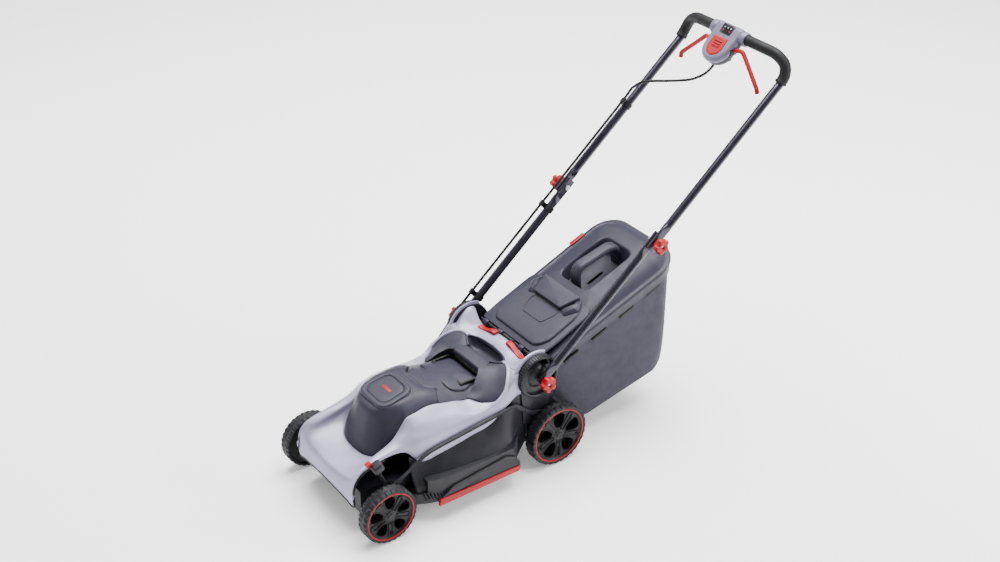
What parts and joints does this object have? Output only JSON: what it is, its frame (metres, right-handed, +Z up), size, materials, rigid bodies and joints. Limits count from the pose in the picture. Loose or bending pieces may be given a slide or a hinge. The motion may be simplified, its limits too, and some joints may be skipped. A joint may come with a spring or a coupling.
{
  "type": "push lawn mower",
  "caption": "Cordless push mower with a domed motor cover, four cranked wheels, rear collector box and a folding tubular handle with levers.",
  "frame": {"origin": "middle of the part's plan box, on the ground under the wheels", "axes": "+Y towards the user's handle, -Y towards the nose, +X to the mower's left, +Z up"},
  "size_m": [0.4914, 1.45, 1.0794],
  "materials": {
    "pale_shell": "satin moulded plastic",
    "charcoal_shell": "fine textured plastic",
    "dark_deck": "fine textured plastic",
    "black_plastic": "matt",
    "red_plastic": "satin",
    "steel": "ground steel",
    "dark_steel": "black paint",
    "tube_paint": "graphite paint",
    "tyre_rubber": "moulded plastic tread",
    "foam": "foam grip",
    "board": "circuit board",
    "cord": "smooth sheath"
  },
  "bodies": {
    "deck": {"deck_shell": "dark_deck", "skirt_left": "dark_deck", "skirt_right": "dark_deck", "skirt_trims": "red_plastic", "top_cover": "pale_shell", "motor_cover": "charcoal_shell", "badge_pad": "charcoal_shell", "carry_cover": "charcoal_shell", "battery_bay": "black_plastic", "controller": "board", "motor_can": "steel", "handle_mount_left": "dark_deck", "handle_mount_right": "dark_deck", "hinge_rod": "steel", "flap_spring": "steel", "lower_bolts": "steel", "cable_tail": "cord"},
    "blade_unit": {"motor_shaft": "steel", "blade_holder": "dark_steel", "blade": "steel", "blade_bolt": "steel"},
    "battery": {"battery_pack": "black_plastic"},
    "front_axle_unit": {"front_axle": "dark_steel", "height_lever": "black_plastic"},
    "rear_axle_unit": {"rear_axle": "dark_steel"},
    "link_rod_unit": {"link_rod": "dark_steel"},
    "front_left_wheel": {"front_left_tyre": "tyre_rubber", "front_left_rim": "black_plastic"},
    "front_right_wheel": {"front_right_tyre": "tyre_rubber", "front_right_rim": "black_plastic"},
    "rear_left_wheel": {"rear_left_tyre": "tyre_rubber", "rear_left_rim": "black_plastic"},
    "rear_right_wheel": {"rear_right_tyre": "tyre_rubber", "rear_right_rim": "black_plastic"},
    "lower_handle": {"lower_tube_left": "tube_paint", "lower_tube_right": "tube_paint", "upper_bolts": "steel", "clips_lower": "black_plastic", "cable_lower": "cord"},
    "upper_handle": {"upper_tube": "tube_paint", "grip_left": "foam", "grip_right": "foam", "control_box": "pale_shell", "display_window": "black_plastic", "clip_upper": "black_plastic", "cable_upper": "cord"},
    "lower_left_knob": {"lower_knob_left": "red_plastic"},
    "lower_right_knob": {"lower_knob_right": "red_plastic"},
    "upper_left_knob": {"upper_knob_left": "red_plastic"},
    "upper_right_knob": {"upper_knob_right": "red_plastic"},
    "bail": {"bail_levers": "red_plastic"},
    "paddle": {"drive_paddle": "red_plastic"},
    "key": {"safety_key": "black_plastic"},
    "flap": {"rear_flap": "charcoal_shell"},
    "catches": {"flap_catches": "red_plastic"},
    "collector": {"box_lid": "charcoal_shell", "box_body": "charcoal_shell", "box_handle": "black_plastic"},
    "indicator": {"fill_indicator": "red_plastic"}
  },
  "joints": [
    {"name": "blade_spin", "type": "hinge", "parent": "deck", "child": "blade_unit", "pos_m": [0, -0.4274, 0.066], "axis": [0, 0, 1], "continuous": true},
    {"name": "battery_lift", "type": "slide", "parent": "deck", "child": "battery", "axis": [0, 0, 1], "range_m": [0, 0.12]},
    {"name": "front_height", "type": "hinge", "parent": "deck", "child": "front_axle_unit", "pos_m": [0, -0.60195, 0.10223], "axis": [1, 0, 0], "range_deg": [-52, 0]},
    {"name": "rear_height", "type": "hinge", "parent": "deck", "child": "rear_axle_unit", "pos_m": [0, -0.03345, 0.11548], "axis": [1, 0, 0], "range_deg": [-52, 0]},
    {"name": "rod_pivot", "type": "hinge", "parent": "front_axle_unit", "child": "link_rod_unit", "pos_m": [0, -0.60195, 0.13923], "axis": [1, 0, 0], "range_deg": [0, 52]},
    {"name": "front_left_roll", "type": "hinge", "parent": "front_axle_unit", "child": "front_left_wheel", "pos_m": [0, -0.6424, 0.0825], "axis": [1, 0, 0], "continuous": true},
    {"name": "front_right_roll", "type": "hinge", "parent": "front_axle_unit", "child": "front_right_wheel", "pos_m": [0, -0.6424, 0.0825], "axis": [1, 0, 0], "continuous": true},
    {"name": "rear_left_roll", "type": "hinge", "parent": "rear_axle_unit", "child": "rear_left_wheel", "pos_m": [0, -0.0739, 0.09575], "axis": [1, 0, 0], "continuous": true},
    {"name": "rear_right_roll", "type": "hinge", "parent": "rear_axle_unit", "child": "rear_right_wheel", "pos_m": [0, -0.0739, 0.09575], "axis": [1, 0, 0], "continuous": true},
    {"name": "lower_fold", "type": "hinge", "parent": "deck", "child": "lower_handle", "pos_m": [0, -0.1204, 0.295], "axis": [1, 0, 0], "range_deg": [0, 120], "deforming": ["cable_tail", "cable_lower"]},
    {"name": "upper_fold", "type": "hinge", "parent": "lower_handle", "child": "upper_handle", "pos_m": [0, 0.25496, 0.60997], "axis": [1, 0, 0], "range_deg": [-150, 0]},
    {"name": "lower_left_knob_turn", "type": "hinge", "parent": "deck", "child": "lower_left_knob", "pos_m": [0, -0.1204, 0.295], "axis": [1, 0, 0], "range_deg": [0, 720]},
    {"name": "lower_right_knob_turn", "type": "hinge", "parent": "deck", "child": "lower_right_knob", "pos_m": [0, -0.1204, 0.295], "axis": [1, 0, 0], "range_deg": [0, 720]},
    {"name": "upper_left_knob_turn", "type": "hinge", "parent": "lower_handle", "child": "upper_left_knob", "pos_m": [0, 0.25496, 0.60997], "axis": [1, 0, 0], "range_deg": [0, 720]},
    {"name": "upper_right_knob_turn", "type": "hinge", "parent": "lower_handle", "child": "upper_right_knob", "pos_m": [0, 0.25496, 0.60997], "axis": [1, 0, 0], "range_deg": [0, 720]},
    {"name": "bail_pull", "type": "hinge", "parent": "upper_handle", "child": "bail", "pos_m": [0, 0.65224, 1.01986], "axis": [1, 0, 0], "range_deg": [0, 40], "stiffness_Nm_per_rad": 0.6},
    {"name": "paddle_press", "type": "slide", "parent": "upper_handle", "child": "paddle", "axis": [0, 0.682, -0.7314], "range_m": [0, 0.0015], "stiffness_N_per_m": 400},
    {"name": "key_pull", "type": "slide", "parent": "upper_handle", "child": "key", "axis": [0, 0.682, -0.7314], "range_m": [0, 0.04]},
    {"name": "flap_lift", "type": "hinge", "parent": "deck", "child": "flap", "pos_m": [0, -0.0934, 0.316], "axis": [1, 0, 0], "range_deg": [0, 65], "stiffness_Nm_per_rad": 0.3},
    {"name": "catch_lift", "type": "hinge", "parent": "deck", "child": "catches", "pos_m": [0, -0.1344, 0.324], "axis": [1, 0, 0], "range_deg": [0, 10], "stiffness_Nm_per_rad": 0.1},
    {"name": "box_lift_off", "type": "slide", "parent": "deck", "child": "collector", "axis": [0, 0.9317, 0.3633], "range_m": [0, 0.35]},
    {"name": "indicator_tip", "type": "hinge", "parent": "collector", "child": "indicator", "pos_m": [0, 0.2436, 0.43181], "axis": [1, 0, 0], "range_deg": [0, 20]}
  ],
  "couplings": [
    {"joint": "rear_height", "follows": "front_height", "ratio": 1},
    {"joint": "rod_pivot", "follows": "front_height", "ratio": -1},
    {"joint": "upper_fold", "follows": "lower_fold", "ratio": -1.25}
  ]
}
